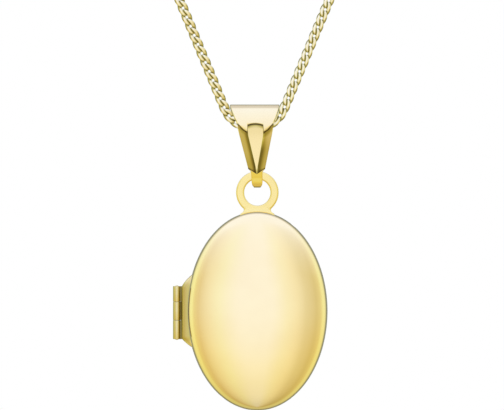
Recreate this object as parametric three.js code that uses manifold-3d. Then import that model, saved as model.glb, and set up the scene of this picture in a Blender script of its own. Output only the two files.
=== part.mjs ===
// Oval locket necklace: a hinged two-part locket, its bail, and a fine curb chain
// with a bolt-ring clasp. Millimetres, +Z up, the locket's front faces -Y.
// The origin is the axis of the peg that the chain is wound on.
import * as THREE from "three";
import { mergeVertices } from "three/addons/utils/BufferGeometryUtils.js";
import Module from "manifold-3d";

const wasm = await Module();
wasm.setup();

// ---------- driving dimensions ----------
const GAP = 0.04; // play between pieces that sit against each other

const COIL_RADIUS = 10.06; // chain centreline on the peg
const COIL_PITCH = 0.95; // turns lie side by side along Y
const COIL_TURNS = 6.625; // from the left strand over the peg to the right strand
const CHAIN_WIDTH = 0.88;
const CHAIN_THICKNESS = 0.5;
const STRAND_SLOPE = 0.415; // sideways run of each strand for one unit of rise

const OVAL_A = 6.0; // locket, half its width
const OVAL_B = 8.5; // locket, half its height
const WALL_DEPTH = 0.65; // straight rim of each half, seam to dome
const DOME_DEPTH = 1.65;
const SHEET = 0.35;
const SEAM = 0.03; // from the seam plane to the edge of each half
const LIP_THICKNESS = 0.22; // snap rim
const LIP_ROOT = 0.75; // how deep the snap rim sits in the back half
const LIP_REACH = 0.45; // how far it stands into the front half
const FRAME_OUTSIDE = 0.7; // photo frames, in from the oval's edge
const FRAME_INSIDE = 1.3;
const FRAME_DEPTH = 0.35;
const FILM = 0.1; // clear window or blank card
const LOCKET_X = 0.25;
const LOCKET_Z = -37.42;

const EYE_HEIGHT = 10.12; // eye centre above the locket's centre
const EYE_OUTER = 1.815;
const EYE_HOLE = 1.12;
const EYE_THICKNESS = 0.8;
const EYE_FOOT = 1.5; // half the width where its neck meets the oval
const EYE_WAIST = 1.0; // the neck's curve bends towards this half width

const BAIL_TOP_Z = -21.54; // centre of the bail's crown
const BAIL_CROWN = 1.75; // outer radius of the crown, seen from the side
const BAIL_FOOT = 1.08; // outer radius of the foot loop
const BAIL_FOOT_DROP = 4.27; // crown centre to foot centre
const BAIL_LEAN = 0.031; // radians
const CROWN_SHEET = 0.38;
const FOOT_SHEET = 0.48;
const TONGUE = 0.475; // half the width of the foot loop

const HINGE_X = -6.87; // from the locket's axis
const HINGE_TOP = 2.12; // ends of the barrel, from the locket's centre
const HINGE_BOTTOM = -2.4;
const KNUCKLE_R = 0.33;
const KNUCKLE_SPLIT = 0.78; // half the middle knuckle's length
const PIN_R = 0.14;
const PIN_HEAD = 0.06; // how far the pin stands out of the barrel
const LEAF_THICKNESS = 0.44;
const LEAF_SEAM = 0.06;
const LEAF_FOOT = 3.1; // half the height of a leaf's joint with the oval

const CLASP_X = 0.6;
const CLASP_Z = 11.25;
const CLASP_R = 2.1;
const CLASP_TUBE = 0.42;
const CLASP_BORE = 0.31;
const BOLT_R = 0.26;
const MOUTH = [35, 80]; // degrees, closed by the bolt
const LEVER = 96;
const TRAVEL = 45;
const RIGHT_END = 4.15; // clasp's centre to the top of each chain end, along X
const LEFT_END = -5.45;
const END_DROP = 0.15; // below the clasp's centre

// ---------- colours ----------
const gold = (color = 0xe9c877, roughness = 0.12) =>
  new THREE.MeshStandardMaterial({ color, roughness, metalness: 1 });
const POLISHED = gold();
const CHAIN_GOLD = gold(0xe2bf62, 0.2);
const STEEL = new THREE.MeshStandardMaterial({ color: 0xb9bcc0, roughness: 0.3, metalness: 1 });
const CLEAR = new THREE.MeshStandardMaterial({
  color: 0xf4f6f6, roughness: 0.08, metalness: 0, transparent: true, opacity: 0.35,
});
const CARD = new THREE.MeshStandardMaterial({ color: 0xf0e8d8, roughness: 0.85, metalness: 0 });

// ---------- shared builders ----------
const necklace = new THREE.Group();

function add(parent, name, geometry, material) {
  const mesh = new THREE.Mesh(geometry, material);
  mesh.name = name;
  parent.add(mesh);
  return mesh;
}

function toSolid(geometry) {
  const bare = geometry.clone();
  bare.deleteAttribute("normal");
  bare.deleteAttribute("uv");
  const merged = mergeVertices(bare, 1e-4);
  return new wasm.Manifold(new wasm.Mesh({
    numProp: 3,
    vertProperties: new Float32Array(merged.attributes.position.array),
    triVerts: new Uint32Array(merged.index.array),
  }));
}

function toGeometry(solid) {
  const { vertProperties, triVerts } = solid.getMesh();
  const geometry = new THREE.BufferGeometry();
  geometry.setAttribute("position", new THREE.BufferAttribute(vertProperties, 3));
  geometry.setIndex(new THREE.BufferAttribute(triVerts, 1));
  return geometry;
}

function circleShape(radius, sides) {
  const shape = new THREE.Shape();
  for (let i = 0; i < sides; i++) {
    const angle = (2 * Math.PI * i) / sides;
    const [x, y] = [radius * Math.cos(angle), radius * Math.sin(angle)];
    i === 0 ? shape.moveTo(x, y) : shape.lineTo(x, y);
  }
  shape.closePath();
  return shape;
}

function tubeAlong(curve, radius, sides, steps, bore = 0) {
  const shape = circleShape(radius, sides);
  if (bore) shape.holes.push(circleShape(bore, sides));
  return new THREE.ExtrudeGeometry(shape, { steps, extrudePath: curve });
}

function arc(radius, from, to) {
  const curve = new THREE.Curve();
  curve.getPoint = (t, target = new THREE.Vector3()) => {
    const angle = THREE.MathUtils.degToRad(from + (to - from) * t);
    return target.set(radius * Math.cos(angle), radius * Math.sin(angle), 0);
  };
  return curve;
}

// A round ring of round wire in the XY plane.
function wireRing(radius, wire, sides = 10, segments = 28) {
  const profile = [];
  for (let i = 0; i <= sides; i++) {
    const angle = (2 * Math.PI * i) / sides;
    profile.push(new THREE.Vector2(radius + wire * Math.cos(angle), wire * Math.sin(angle)));
  }
  profile[sides].copy(profile[0]);
  return new THREE.LatheGeometry(profile, segments).rotateX(Math.PI / 2);
}

// A plain tube or rod along Z.
function barrel(outer, inner, low, high, segments = 16) {
  const corners = [[inner, low], [outer, low], [outer, high], [inner, high]];
  if (inner > 0) corners.push(corners[0]);
  const profile = corners.map(([r, y]) => new THREE.Vector2(r, y));
  return new THREE.LatheGeometry(profile, segments).rotateX(Math.PI / 2);
}

// A lathe whose every level is an ellipse. A level is [half width, half height, depth];
// depth runs from the seam (0) towards -Y, and side = -1 makes the rear half.
function ovalLathe(levels, side = 1, segments = 48) {
  const profile = levels.map(([, b, depth]) => new THREE.Vector2(b, depth));
  const geometry = new THREE.LatheGeometry(profile, segments);
  const position = geometry.attributes.position;
  for (let i = 0; i < position.count; i++) {
    const [a, b] = levels[i % levels.length];
    if (b > 0) position.setX(i, (position.getX(i) * a) / b);
  }
  geometry.rotateX(Math.PI);
  if (side < 0) geometry.rotateZ(Math.PI);
  return geometry;
}

const inset = (t, depth) => [OVAL_A - t, OVAL_B - t, depth];

// Levels of a domed oval from the axis out to its straight wall.
function dome(t, steps) {
  const levels = [];
  for (let i = 0; i <= steps; i++) {
    const u = (Math.PI / 2) * (i / steps);
    const reach = Math.sin(u) ** (2 / 2.6);
    const depth = WALL_DEPTH + (DOME_DEPTH - t) * Math.cos(u);
    levels.push([(OVAL_A - t) * reach, (OVAL_B - t) * reach, depth]);
  }
  return levels;
}

// ---------- locket ----------
const locket = new THREE.Group();
locket.position.set(LOCKET_X, 0, LOCKET_Z);
necklace.add(locket);

// Two small pry notches sit opposite each other on the seam.
function notches() {
  return [[-0.508, -0.861], [0.508, 0.861]].map(([u, v]) => {
    const [radius, length] = [0.2, 0.5];
    const cutter = new THREE.CylinderGeometry(radius, radius, length, 12);
    cutter.rotateZ(Math.PI / 2);
    cutter.rotateY(-Math.atan2(v * OVAL_B, u * OVAL_A));
    return toSolid(cutter.translate(u * OVAL_A, 0, v * OVAL_B));
  });
}

function cover(side) {
  const outside = dome(0, 8).reverse();
  const levels = [...dome(SHEET, 6), inset(SHEET, SEAM), inset(0, SEAM), ...outside];
  let solid = toSolid(ovalLathe(levels, side));
  for (const notch of notches()) solid = solid.subtract(notch);
  return toGeometry(solid);
}

function ovalBand(outer, inner, low, high, side = 1) {
  const levels = [inset(inner, low), inset(outer, low), inset(outer, high), inset(inner, high)];
  return ovalLathe([...levels, levels[0]], side);
}

function ovalPlate(edge, low, high, side) {
  const [a, b] = inset(edge, 0);
  return ovalLathe([[0, 0, low], [a, b, low], [a, b, high], [0, 0, high]], side);
}

function hingeLeaf(side) {
  const edge = HINGE_X + KNUCKLE_R + GAP;
  const reach = Math.asin(LEAF_FOOT / OVAL_B);
  const wallX = (angle) => -(OVAL_A + GAP) * Math.cos(angle);
  const wallZ = (OVAL_B + GAP) * Math.sin(reach);
  const bendX = edge + 0.05;
  const bendZ = wallZ - 0.4;
  const leaf = new THREE.Shape();
  leaf.moveTo(edge, HINGE_BOTTOM);
  leaf.lineTo(edge, HINGE_TOP);
  leaf.quadraticCurveTo(bendX, bendZ, wallX(reach), wallZ);
  leaf.absellipse(0, 0, OVAL_A + GAP, OVAL_B + GAP, Math.PI - reach, Math.PI + reach, false, 0);
  leaf.quadraticCurveTo(bendX, -bendZ, edge, HINGE_BOTTOM);
  const plate = new THREE.ExtrudeGeometry(leaf, {
    depth: LEAF_THICKNESS, bevelEnabled: false, curveSegments: 10,
  });
  plate.rotateX(Math.PI / 2); // outline into XZ, thickness towards -Y
  return plate.translate(0, side > 0 ? -LEAF_SEAM : LEAF_SEAM + LEAF_THICKNESS, 0);
}

function hangingEye() {
  const eye = new THREE.Shape();
  const footAngle = Math.acos(EYE_FOOT / (OVAL_A + GAP));
  const joinAngle = THREE.MathUtils.degToRad(-48);
  const join = [EYE_OUTER * Math.cos(joinAngle), EYE_HEIGHT + EYE_OUTER * Math.sin(joinAngle)];
  const footZ = (OVAL_B + GAP) * Math.sin(footAngle);
  const waistZ = EYE_HEIGHT - 1.58;
  eye.moveTo(EYE_FOOT, footZ);
  eye.quadraticCurveTo(EYE_WAIST, waistZ, join[0], join[1]);
  eye.absarc(0, EYE_HEIGHT, EYE_OUTER, joinAngle, Math.PI - joinAngle, false);
  eye.quadraticCurveTo(-EYE_WAIST, waistZ, -EYE_FOOT, footZ);
  eye.absellipse(0, 0, OVAL_A + GAP, OVAL_B + GAP, Math.PI - footAngle, footAngle, true, 0);
  const hole = new THREE.Path();
  hole.absarc(0, EYE_HEIGHT, EYE_HOLE, 0, 2 * Math.PI, true);
  eye.holes.push(hole);
  const plate = new THREE.ExtrudeGeometry(eye, {
    depth: EYE_THICKNESS, bevelEnabled: false, curveSegments: 16,
  });
  return plate.rotateX(Math.PI / 2).translate(0, EYE_THICKNESS / 2, 0);
}

add(locket, "front_cover", cover(1), POLISHED);
add(locket, "back_cover", cover(-1), POLISHED);
const lipOutside = SHEET + 0.05;
const lip = ovalBand(lipOutside, lipOutside + LIP_THICKNESS, -LIP_ROOT, LIP_REACH);
add(locket, "snap_rim", lip, POLISHED);
for (const [half, side, seat] of [["front", 1, 0.6], ["back", -1, 0.3]]) {
  const film = seat + FRAME_DEPTH + GAP;
  const card = film + FILM + GAP;
  const frame = ovalBand(FRAME_OUTSIDE, FRAME_INSIDE, seat, seat + FRAME_DEPTH, side);
  add(locket, `${half}_photo_frame`, frame, POLISHED);
  add(locket, `${half}_window`, ovalPlate(FRAME_OUTSIDE + 0.3, film, film + FILM, side), CLEAR);
  add(locket, `${half}_photo_card`, ovalPlate(FRAME_OUTSIDE + 0.35, card, card + FILM, side), CARD);
  add(locket, `${half}_hinge_leaf`, hingeLeaf(side), POLISHED);
}
add(locket, "hanging_eye", hangingEye(), POLISHED);

const knuckles = [
  ["hinge_knuckle_lower", HINGE_BOTTOM, -KNUCKLE_SPLIT - GAP],
  ["hinge_knuckle_middle", -KNUCKLE_SPLIT, KNUCKLE_SPLIT],
  ["hinge_knuckle_upper", KNUCKLE_SPLIT + GAP, HINGE_TOP],
];
for (const [name, low, high] of knuckles) {
  const knuckle = add(locket, name, barrel(KNUCKLE_R, PIN_R + GAP, low, high), POLISHED);
  knuckle.position.x = HINGE_X;
}
const pinShape = barrel(PIN_R, 0, HINGE_BOTTOM - PIN_HEAD, HINGE_TOP + PIN_HEAD);
const pin = add(locket, "hinge_pin", pinShape, POLISHED);
pin.position.x = HINGE_X;

// ---------- bail ----------
// Side outline: a loop between a large crown and a small foot, in the YZ plane.
function loopShape(crown, foot) {
  const lean = Math.asin((crown - foot) / BAIL_FOOT_DROP);
  const shape = new THREE.Shape();
  shape.absarc(0, 0, crown, -lean, Math.PI + lean, false);
  shape.absarc(0, -BAIL_FOOT_DROP, foot, Math.PI + lean, 2 * Math.PI - lean, false);
  shape.closePath();
  return shape;
}

function bailBody() {
  const loop = loopShape(BAIL_CROWN, BAIL_FOOT);
  loop.holes.push(loopShape(BAIL_CROWN - CROWN_SHEET, BAIL_FOOT - FOOT_SHEET));
  const width = 5;
  const strip = new THREE.ExtrudeGeometry(loop, { depth: width, bevelEnabled: false, curveSegments: 14 });
  strip.translate(0, 0, -width / 2).rotateX(Math.PI / 2).rotateZ(Math.PI / 2);

  // Front outline: a tapering shield whose tip runs into the narrow foot loop.
  const bottom = -BAIL_FOOT_DROP - BAIL_FOOT;
  const half = [[2.1, BAIL_CROWN + 0.1], [1.58, -0.42], [1.1, -2.46], [0.84, -3.49],
    [0.67, -3.75], [TONGUE, -3.95], [TONGUE, bottom + 0.4], [0.3, bottom - 0.1]];
  const outline = new THREE.Shape();
  outline.moveTo(...half[0]);
  for (const [x, z] of half.slice(1)) outline.lineTo(x, z);
  for (const [x, z] of half.slice().reverse()) outline.lineTo(-x, z);
  outline.closePath();
  const depth = 6;
  const shield = new THREE.ExtrudeGeometry(outline, { depth, bevelEnabled: false });
  shield.rotateX(Math.PI / 2).translate(0, depth / 2, 0);

  // Side facets: a plane on each side of the centre facet, below the crown.
  const facet = { turn: 0.42, spread: 0.12, pitch: 0.16 }; // radians
  let body = toSolid(strip).intersect(toSolid(shield));
  for (const side of [-1, 1]) {
    const block = new THREE.BoxGeometry(4, 2, 9).translate(side * 2, -1, 0);
    block.rotateZ(side * facet.turn).rotateY(side * facet.spread).rotateX(facet.pitch);
    block.translate(side * 0.42, 0.26 - BAIL_CROWN, -2.4);
    const belowCrown = new THREE.BoxGeometry(6, 4, 4.6).translate(0, -2.3, -2.8);
    body = body.subtract(toSolid(block).intersect(toSolid(belowCrown)));
  }
  return toGeometry(body);
}

const bail = add(necklace, "bail", bailBody(), POLISHED);
bail.position.set(LOCKET_X - BAIL_FOOT_DROP * BAIL_LEAN - 0.04, 0, BAIL_TOP_Z);
bail.rotation.y = -BAIL_LEAN;

// ---------- chain ----------
const COIL_HALF_ANGLE = COIL_TURNS * Math.PI; // from the top of the peg to each strand
const strandTilt = Math.atan(STRAND_SLOPE);
const coilEndY = (COIL_HALF_ANGLE / (2 * Math.PI)) * COIL_PITCH;
const strandX = COIL_RADIUS * Math.cos(strandTilt); // where each strand leaves the peg
const strandZ = -COIL_RADIUS * Math.sin(strandTilt);

// Right half of the free run, from under the bail's crown up to the peg: [x, y, z].
const RUN = [
  [0, 0, -21.8],
  [0.7, 0.02, -21.71],
  [1.38, 0.06, -21.43],
  [1.95, 0.14, -20.99],
  [2.35, 0.24, -20.48],
  [2.68, 0.35, -19.79],
  [3.42, 0.7, -18.0],
  [4.67, 1.3, -15.0],
  [5.91, 1.88, -12.0],
  [7.16, 2.46, -9.0],
  [8.24, 2.9, -6.4],
  [strandX, coilEndY, strandZ],
];

const mirror = ([x, y, z]) => [-x, -y, z];
const runPoints = [...RUN.slice(1).reverse().map(mirror), ...RUN];
const toCurve = (points) =>
  new THREE.CatmullRomCurve3(points.map((p) => new THREE.Vector3(...p)), false, "centripetal");

// A flat ring that holds all the turns on the peg.
function coilRing(grow = 0) {
  const halfDepth = CHAIN_THICKNESS / 2 + 0.05 + grow;
  const inner = COIL_RADIUS - halfDepth;
  const outer = COIL_RADIUS + halfDepth;
  const reach = coilEndY + CHAIN_WIDTH / 2 + grow;
  const corners = [[inner, -reach], [outer, -reach], [outer, reach], [inner, reach], [inner, -reach]];
  return new THREE.LatheGeometry(corners.map(([r, y]) => new THREE.Vector2(r, y)), 72);
}

const coilSpace = toSolid(coilRing(0.3));
const run = toSolid(tubeAlong(toCurve(runPoints), CHAIN_WIDTH / 2, 8, 46));
add(necklace, "chain_run", toGeometry(run.subtract(coilSpace)), CHAIN_GOLD);
add(necklace, "chain_coil", coilRing(), CHAIN_GOLD);

// The last links rise from the middle turn to the clasp, tangent to the coil.
function chainEnd(side, x) {
  const top = new THREE.Vector2(x, CLASP_Z - END_DROP);
  const angle = top.angle() - side * Math.acos(COIL_RADIUS / top.length());
  const foot = new THREE.Vector2(COIL_RADIUS * Math.cos(angle), COIL_RADIUS * Math.sin(angle));
  const points = [0, 1].map((t) => [top.x + (foot.x - top.x) * t, 0, top.y + (foot.y - top.y) * t]);
  const tube = toSolid(tubeAlong(toCurve(points), CHAIN_WIDTH / 2, 8, 3));
  return toGeometry(tube.subtract(coilSpace));
}
add(necklace, "chain_end_right", chainEnd(1, CLASP_X + RIGHT_END), CHAIN_GOLD);
add(necklace, "chain_end_left", chainEnd(-1, CLASP_X + LEFT_END), CHAIN_GOLD);

// ---------- clasp ----------
const clasp = new THREE.Group();
clasp.position.set(CLASP_X, 0, CLASP_Z);
necklace.add(clasp);

function claspBody() {
  const round = arc(CLASP_R, MOUTH[1], MOUTH[0] + 360);
  const shell = tubeAlong(round, CLASP_TUBE, 10, 28, CLASP_BORE);
  const slotArc = arc(CLASP_R + 0.36, LEVER - 6, LEVER + TRAVEL + 6);
  const slot = tubeAlong(slotArc, 0.19, 8, 10);
  return toGeometry(toSolid(shell).subtract(toSolid(slot)));
}

function claspBolt() {
  const rod = tubeAlong(arc(CLASP_R, MOUTH[0] - 5, LEVER + 5), BOLT_R, 10, 14);
  const [leverR, leverLength] = [0.13, 0.85];
  const lever = new THREE.CylinderGeometry(leverR, leverR, leverLength, 10);
  lever.rotateZ(-Math.PI / 2).translate(CLASP_R + 0.45, 0, 0);
  lever.rotateZ(THREE.MathUtils.degToRad(LEVER));
  return toGeometry(toSolid(rod).add(toSolid(lever)));
}

function claspSpring() {
  const [from, to, turns] = [LEVER + 9, 172, 9];
  const [coil, wire] = [0.2, 0.05];
  const helix = new THREE.Curve();
  helix.getPoint = (t, target = new THREE.Vector3()) => {
    const angle = THREE.MathUtils.degToRad(from + (to - from) * t);
    const twist = 2 * Math.PI * turns * t;
    const radius = CLASP_R + coil * Math.cos(twist);
    return target.set(radius * Math.cos(angle), radius * Math.sin(angle), coil * Math.sin(twist));
  };
  return tubeAlong(helix, wire, 4, turns * 7);
}

add(clasp, "clasp_body", claspBody(), POLISHED);
add(clasp, "clasp_bolt", claspBolt(), POLISHED);
add(clasp, "clasp_spring", claspSpring(), STEEL);

const [eyeR, linkR, endR, wireR] = [0.58, 0.85, 1.2, 0.17];
const linkTilt = 0.87;
const claspEye = add(clasp, "clasp_eye", wireRing(eyeR, wireR, 8, 20), POLISHED);
claspEye.position.x = -CLASP_R - CLASP_TUBE - eyeR - wireR - GAP;
const claspLink = add(clasp, "clasp_link", wireRing(linkR, wireR, 8, 24), POLISHED);
claspLink.position.x = claspEye.position.x - eyeR - linkR + 0.46;
claspLink.rotation.x = linkTilt;
const endRing = add(clasp, "end_ring", wireRing(endR, 0.2, 8, 28), POLISHED);
endRing.position.x = CLASP_R + 0.56;
endRing.rotation.x = linkTilt;

export default necklace;
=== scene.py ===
"""Oval locket necklace: the fine visual model over its CAD frame.

Shapes are worked out in millimetres and stored in metres. +Z is up, the locket's front faces -Y,
and the origin is the axis of the peg that the chain is wound on.
"""
import math

import bmesh
import bpy
from mathutils import Matrix, Vector


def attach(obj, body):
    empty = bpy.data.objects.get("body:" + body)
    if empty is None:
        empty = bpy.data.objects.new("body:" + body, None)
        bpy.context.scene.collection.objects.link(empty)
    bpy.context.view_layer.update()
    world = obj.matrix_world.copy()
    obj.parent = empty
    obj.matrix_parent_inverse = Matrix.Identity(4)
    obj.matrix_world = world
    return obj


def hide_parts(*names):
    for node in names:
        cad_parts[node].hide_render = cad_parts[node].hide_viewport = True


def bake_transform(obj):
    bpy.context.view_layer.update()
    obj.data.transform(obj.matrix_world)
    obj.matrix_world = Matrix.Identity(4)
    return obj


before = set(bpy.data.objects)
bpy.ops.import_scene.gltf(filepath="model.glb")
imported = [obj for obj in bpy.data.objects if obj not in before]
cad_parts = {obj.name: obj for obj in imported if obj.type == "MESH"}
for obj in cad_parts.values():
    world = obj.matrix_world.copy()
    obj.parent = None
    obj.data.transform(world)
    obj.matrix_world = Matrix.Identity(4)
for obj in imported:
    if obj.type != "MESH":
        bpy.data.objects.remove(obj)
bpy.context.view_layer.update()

MM = 0.001
GAP = 0.04
WELD = 2e-4  # points closer than this are one point
NEUTRAL = 0.25  # the stored shade that leaves a metal's colour as it is

# Locket
OVAL_A, OVAL_B = 6.0, 8.5
WALL_DEPTH, DOME_DEPTH = 0.65, 1.65
SHEET, SEAM = 0.35, 0.03
DOME_POWER = 2 / 2.6
DOME_STOP = math.radians(86.6)  # where the outer dome gives way to the rim
DRAFT = math.tan(math.radians(9.4))  # the rim's side leans in by this much for each unit of depth
LOCKET = Matrix.Translation((0.25, 0, -37.42))
FRONT, BACK = 1, -1
NOTCH_AT = (0.508, 0.861)  # a pry notch's place, in half widths and half heights
NOTCH_R, NOTCH_REACH = 0.17, 0.24
FRONT_SEAT, BACK_SEAT = 0.6, 0.3  # depth of each photo frame's face
FILM, CARD = (0.39, 0.49), (0.53, 0.63)  # each sheet's two sides, beyond the frame's face
FILM_INSET, CARD_INSET = 1.0, 1.05

# Hanging eye
EYE_HEIGHT, EYE_OUTER, EYE_HOLE, EYE_HALF_DEPTH = 10.12, 1.815, 1.12, 0.4
EYE_FOOT, EYE_WAIST, EYE_WAIST_DROP = 1.5, 1.0, 1.58
EYE_JOIN = -48  # degrees, where the ring gives way to the neck
EYE_SOFT = 0.15
RING_STEPS, NECK_STEPS, FOOT_STEPS = 120, 13, 22
EYE_BOTTOM = range(RING_STEPS + NECK_STEPS, RING_STEPS + NECK_STEPS + FOOT_STEPS + 1)
SWELL, SWELL_LOW, SWELL_HIGH = 0.5, 8.25, 8.85  # the foot's extra depth and where it fades

# Bail
CROWN_R, FOOT_R, FOOT_DROP = 1.75, 1.08, 4.27
CROWN_SHEET, FOOT_SHEET = 0.38, 0.48
LEAN = math.asin((CROWN_R - FOOT_R) / FOOT_DROP)
CROWN_END, FOOT_START = -CROWN_R * math.sin(LEAN), -FOOT_DROP - FOOT_R * math.sin(LEAN)
FRONT_EDGE = 0.6  # height on the crown where the strip's rows start and end
TONGUE_TOP, FACET_LOW, FACET_HIGH = -4.3, -3.55, -1.0
TIP_LEVEL, CREASE_LEVEL = -3.78, -0.23  # where the strip's width is read for the rows nearby
FACET_SINK = 0.10
RIDGE = [
    (-4.25, 0.02), (-3.9, 0.03), (-3.53, 0.1), (-2.87, 0.235), (-1.89, 0.44), (-0.91, 0.64), (0.2, 0.71),
]
HALF_WIDTH = [
    (-5.35, 0.31), (-5.3, 0.35), (-5.18, 0.42), (-5.0, 0.465), (-4.1, 0.48), (-3.86, 0.6),
    (TIP_LEVEL, 0.72), (-0.42, 1.50), (0.1, 1.58), (CROWN_R, 2.12),
]
BAIL_LEAN = 0.031
BAIL = Matrix.Translation((0.25 - FOOT_DROP * BAIL_LEAN - 0.04, 0, -21.54)) @ Matrix(
    ((1, 0, -BAIL_LEAN, 0), (0, 1, 0, 0), (0, 0, 1, 0), (0, 0, 0, 1))
)

# Hinge
HINGE_X, KNUCKLE_R, KNUCKLE_SPLIT = -6.87, 0.33, 0.78
HINGE_TOP, HINGE_BOTTOM = 2.12, -2.4
PIN_R, PIN_HEAD = 0.14, 0.06
SLIT = 0.01  # between the knuckles
LEAF_FOOT, LEAF_STEPS, LEAF_CORNER = 3.1, 72, 0.15
LEAF_RISE = [(0, 0.13), (0.12, 0.2), (0.3, 0.3), (0.5, 0.36), (0.7, 0.40), (0.85, 0.42), (1.0, 0.42)]

# Clasp
CLASP = Matrix.Translation((0.6, 0, 11.25)) @ Matrix.Rotation(-math.pi / 2, 4, "X")
CLASP_R, CLASP_TUBE, CLASP_BORE, BOLT_R = 2.1, 0.42, 0.31, 0.26
MOUTH, LEVER, TRAVEL = (35, 80), 96, 45
LEVER_OUTLINE = [
    (0, 0), (0.12, 0), (0.12, 0.62), (0.15, 0.68), (0.17, 0.76), (0.15, 0.84), (0.08, 0.88), (0, 0.89),
]
SPRING, SPRING_TURNS, SPRING_R, SPRING_WIRE = (LEVER + 9, 200), 7, 0.2, 0.05
EYE_RING_R, JUMP_RING_R, END_RING_R = 0.58, 0.85, 1.2
THIN_WIRE, END_WIRE, RING_TILT = 0.17, 0.2, 0.87

# Chain
COIL_R, COIL_PITCH = 10.06, 0.95
COIL_STEPS = 420
HALF_TURNS, WHOLE_TURNS = 3.3125, 3  # of each half of the chain round the peg
STRAND_SLOPE = 0.415
RIGHT_END_X, LEFT_END_X, END_HEIGHT = 4.75, 4.85, 11.10
LINK_PITCH, LINK_WIRE = 0.84, 0.172
LINK_A, LINK_B = 0.565, 0.268  # half length and half width of a link's centreline
FLAT_CUT = 0.22  # the links are ground flat this far from the chain's mid plane
FINE_BELOW = -8  # links lower than this have more sides

# Right half of the free run, from under the bail's crown up to the peg.
RUN = [
    (0, 0, -21.8),
    (0.7, 0.02, -21.71),
    (1.38, 0.06, -21.43),
    (1.95, 0.14, -20.99),
    (2.35, 0.24, -20.48),
    (2.68, 0.35, -19.79),
    (3.42, 0.7, -18.0),
    (4.67, 1.3, -15.0),
    (5.91, 1.88, -12.0),
    (7.16, 2.46, -9.0),
    (8.24, 2.9, -6.4),
]


# ---------- camera ----------
CAMERA_DISTANCE, CAMERA_WIDTH = 0.4, 0.04304  # the width is what the view shows at the pendant


def add_camera():
    """The photograph's framing, straight on."""
    data = bpy.data.cameras.new("camera")
    data.lens = data.sensor_width * CAMERA_DISTANCE / CAMERA_WIDTH
    data.clip_start, data.clip_end = 0.01, 20
    camera = bpy.data.objects.new("camera", data)
    camera.location = (-0.000205, -CAMERA_DISTANCE, -0.02837)
    camera.rotation_euler = (math.pi / 2, 0, 0)
    bpy.context.collection.objects.link(camera)
    bpy.context.scene.camera = camera


# ---------- materials ----------
NOISE_LOW, NOISE_HIGH = 0.3, 0.7  # most of a noise texture lies between these
RELIEF = 0.01


def principled(name):
    material = bpy.data.materials.new(name)
    material.use_nodes = True
    return material, material.node_tree, material.node_tree.nodes["Principled BSDF"]


def surface(tree, shader, tint, rough):
    tree.links.new(tint, shader.inputs["Base Color"])
    tree.links.new(rough, shader.inputs["Roughness"])


def feed(tree, socket, value):
    """Links an output to a node's socket, or sets a number or colour on it."""
    if isinstance(value, bpy.types.NodeSocket):
        tree.links.new(value, socket)
    else:
        socket.default_value = value


def mix(tree, first, second, factor=1.0, how="MIX"):
    node = tree.nodes.new("ShaderNodeMix")
    node.data_type, node.blend_type = "RGBA", how
    feed(tree, node.inputs["Factor"], factor)
    feed(tree, node.inputs[6], first)
    feed(tree, node.inputs[7], second)
    return node.outputs[2]


def noise(tree, scale, detail=3.0, stretch=(1, 1, 1)):
    """3-D noise with its scale in features per millimetre."""
    place = tree.nodes.new("ShaderNodeTexCoord")
    mapping = tree.nodes.new("ShaderNodeMapping")
    mapping.inputs["Scale"].default_value = [scale * s / MM for s in stretch]
    tree.links.new(place.outputs["Object"], mapping.inputs["Vector"])
    texture = tree.nodes.new("ShaderNodeTexNoise")
    texture.inputs["Scale"].default_value = 1.0
    texture.inputs["Detail"].default_value = detail
    tree.links.new(mapping.outputs["Vector"], texture.inputs["Vector"])
    return texture.outputs["Fac"]


def ramp(tree, factor, stops):
    """A colour ramp with stops of (position, colour)."""
    node = tree.nodes.new("ShaderNodeValToRGB")
    elements = node.color_ramp.elements
    while len(elements) < len(stops):
        elements.new(1.0)
    for element, (position, colour) in zip(elements, stops):
        element.position = position
        element.color = (*colour, 1) if len(colour) == 3 else colour
    tree.links.new(factor, node.inputs["Fac"])
    return node.outputs["Color"]


def remap(tree, factor, low, high):
    node = tree.nodes.new("ShaderNodeMapRange")
    node.inputs["From Min"].default_value = NOISE_LOW
    node.inputs["From Max"].default_value = NOISE_HIGH
    node.inputs["To Min"].default_value = low
    node.inputs["To Max"].default_value = high
    tree.links.new(factor, node.inputs["Value"])
    return node.outputs["Result"]


def bump(tree, shader, height, strength):
    node = tree.nodes.new("ShaderNodeBump")
    node.inputs["Strength"].default_value = strength
    node.inputs["Distance"].default_value = RELIEF * MM
    tree.links.new(height, node.inputs["Height"])
    tree.links.new(node.outputs["Normal"], shader.inputs["Normal"])


def with_painted_shade(tree, tint, shade_tints):
    """The tint multiplied by a colour for each point's stored shade: warm below neutral, then the olive and
    dark of painted shade in creases, crossings and on shaded sides.
    """
    shade = tree.nodes.new("ShaderNodeAttribute")
    shade.attribute_name = "shade"
    warm, olive, dark = shade_tints
    stops = [(0, warm), (NEUTRAL, (1, 1, 1)), (0.6, olive), (1, dark)]
    return mix(tree, tint, ramp(tree, shade.outputs["Fac"], stops), how="MULTIPLY")


def metal(name, colour, rough, haze=0.03, vary=0.03, brush=(1, 1, 1), relief=0.0, shade_tints=None):
    """Polished metal: its colour drifts a little, fine wear changes its roughness, and with shade tints
    each point's stored painted shade darkens it.
    """
    material, tree, shader = principled(name)
    shader.inputs["Metallic"].default_value = 1.0
    deep = [c * (1 - vary * (1 + i)) for i, c in enumerate(colour)]
    tint = ramp(tree, noise(tree, 0.35), [(0.35, deep), (0.65, colour)])
    if shade_tints:
        tint = with_painted_shade(tree, tint, shade_tints)
    surface(tree, shader, tint, remap(tree, noise(tree, 3.0, 5.0, brush), rough, rough + haze))
    if relief:
        bump(tree, shader, noise(tree, 6.0, 4.0, brush), relief)
    return material


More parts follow.
